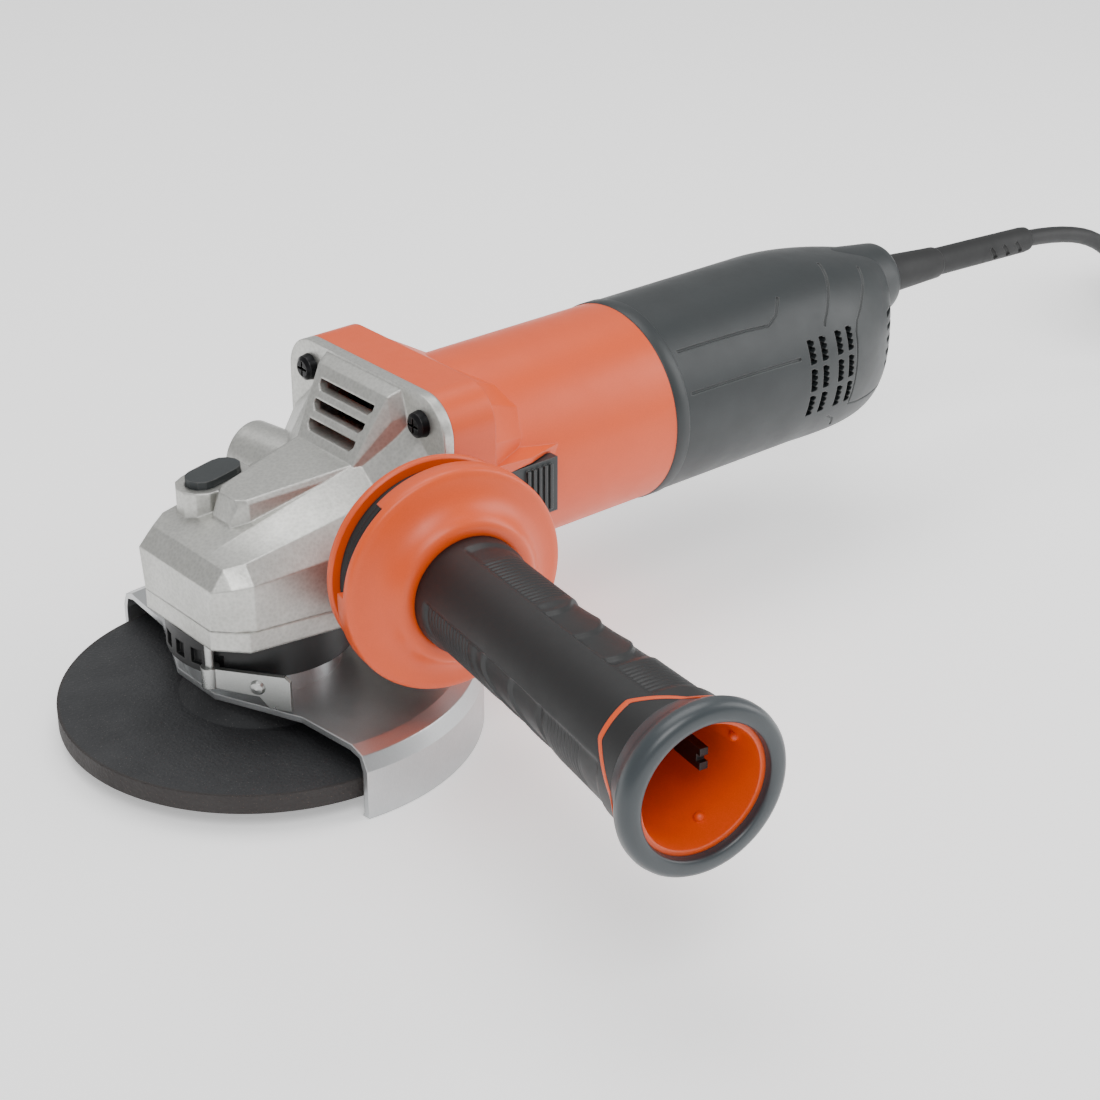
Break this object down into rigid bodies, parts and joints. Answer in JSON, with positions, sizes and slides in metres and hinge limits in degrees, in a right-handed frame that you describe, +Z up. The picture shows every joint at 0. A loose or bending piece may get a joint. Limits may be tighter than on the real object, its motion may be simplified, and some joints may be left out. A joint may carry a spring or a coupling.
{
  "type": "angle grinder",
  "caption": "Corded angle grinder with slide switch, half-shroud guard with quick-release lever, spindle lock, damped side handle and depressed-centre grinding disc.",
  "frame": {"origin": "free end of the spindle, on its axis, level with the lip of the guard", "axes": "+Z up the spindle to the gear head, +X along the motor to the cord end, side handle to -Y"},
  "size_m": [0.6078, 0.262, 0.1052],
  "materials": {
    "abrasive": "resin-bonded corundum with glass web",
    "bearing_steel": "ground",
    "black_plastic": "glass-filled nylon, matt",
    "black_rubber": "moulded, matt",
    "black_steel": "black oxide",
    "brass_sheet": "pressed",
    "bronze_bush": "sintered",
    "carbon": "pressed carbon",
    "cast_alloy": "bead-blasted die casting",
    "copper_wire": "enamelled",
    "grey_plastic": "moulded, matt",
    "grip_rubber": "moulded soft grip",
    "nickel_brass": "nickel plated",
    "orange_plastic": "glass-filled nylon, fine texture",
    "satin_steel": "satin zinc-nickel",
    "slate_plastic": "glass-filled nylon, fine texture",
    "spring_steel": "drawn wire",
    "steel_laminations": "stacked sheet",
    "zinc_steel": "zinc plated"
  },
  "bodies": {
    "housing": {"gear_case": "cast_alloy", "bearing_plate": "cast_alloy", "bearing_plate_screws": "zinc_steel", "gear_case_screws": "black_steel", "guard_collar": "black_plastic", "motor_housing": "orange_plastic", "air_baffle": "black_plastic", "rear_housing_left": "slate_plastic", "rear_housing_right": "slate_plastic", "rear_housing_screws": "zinc_steel", "stator_core": "steel_laminations", "field_coils": "copper_wire", "brush_holders": "brass_sheet", "carbon_brushes": "carbon", "brush_springs": "spring_steel", "switch_body": "black_plastic", "cord_clamp": "black_plastic", "cord_bell": "black_rubber", "strain_relief": "black_rubber", "power_cord": "black_rubber", "cord_coil": "black_rubber", "plug_body": "black_rubber", "plug_pins": "nickel_brass", "spindle_bearing_outer": "bearing_steel", "front_bearing_outer": "bearing_steel", "rear_bearing_outer": "bearing_steel", "spindle_top_bush": "bronze_bush", "lock_spring": "spring_steel", "lever_pin": "zinc_steel"},
    "spindle_set": {"spindle": "bearing_steel", "crown_gear": "bearing_steel", "spindle_bearing_inner": "bearing_steel", "inner_flange": "zinc_steel", "grinding_disc": "abrasive", "clamp_nut": "black_steel"},
    "armature": {"armature_shaft": "bearing_steel", "armature_core": "steel_laminations", "armature_windings": "copper_wire", "commutator": "brass_sheet", "cooling_fan": "black_plastic", "pinion_gear": "bearing_steel", "front_bearing_inner": "bearing_steel", "rear_bearing_inner": "bearing_steel"},
    "guard": {"guard_shroud": "satin_steel", "guard_clamp_band": "satin_steel"},
    "lever": {"guard_lever": "zinc_steel", "lever_rivet": "zinc_steel"},
    "button": {"lock_button": "slate_plastic", "lock_pin": "bearing_steel"},
    "switch": {"switch_slider": "slate_plastic", "switch_rod": "black_plastic"},
    "side_handle": {"handle_stud": "zinc_steel", "back_flange": "orange_plastic", "damper_ring": "black_rubber", "damper_hub": "grey_plastic", "hand_guard": "orange_plastic", "grip_core": "orange_plastic", "grip_sleeve": "grip_rubber", "end_ring": "slate_plastic", "retaining_strap": "black_plastic"}
  },
  "joints": [
    {"name": "spindle_spin", "type": "hinge", "parent": "housing", "child": "spindle_set", "pos_m": [0, 0, 0], "axis": [0, 0, 1], "continuous": true},
    {"name": "armature_spin", "type": "hinge", "parent": "housing", "child": "armature", "pos_m": [0.1, 0, 0.0668], "axis": [1, 0, 0], "continuous": true},
    {"name": "guard_turn", "type": "hinge", "parent": "housing", "child": "guard", "pos_m": [0, 0, 0.02], "axis": [0, 0, 1], "range_deg": [-90, 60]},
    {"name": "lever_release", "type": "hinge", "parent": "housing", "child": "lever", "pos_m": [-0.027, -0.01387, 0.03], "axis": [0, 0, 1], "range_deg": [-12, 0], "stiffness_Nm_per_rad": 0.05, "springref_deg": 5.73},
    {"name": "lock_button_press", "type": "slide", "parent": "housing", "child": "button", "axis": [0, 0, -1], "range_m": [0, 0.004], "stiffness_N_per_m": 900, "springref_m": -0.002, "deforming": ["lock_spring"]},
    {"name": "switch_slide", "type": "slide", "parent": "housing", "child": "switch", "axis": [-1, 0, 0], "range_m": [0, 0.006]},
    {"name": "side_handle_unscrew", "type": "slide", "parent": "housing", "child": "side_handle", "axis": [-0.1633, -0.9866, 0], "range_m": [0, 0.016]}
  ],
  "couplings": [
    {"joint": "armature_spin", "follows": "spindle_spin", "ratio": 3}
  ]
}
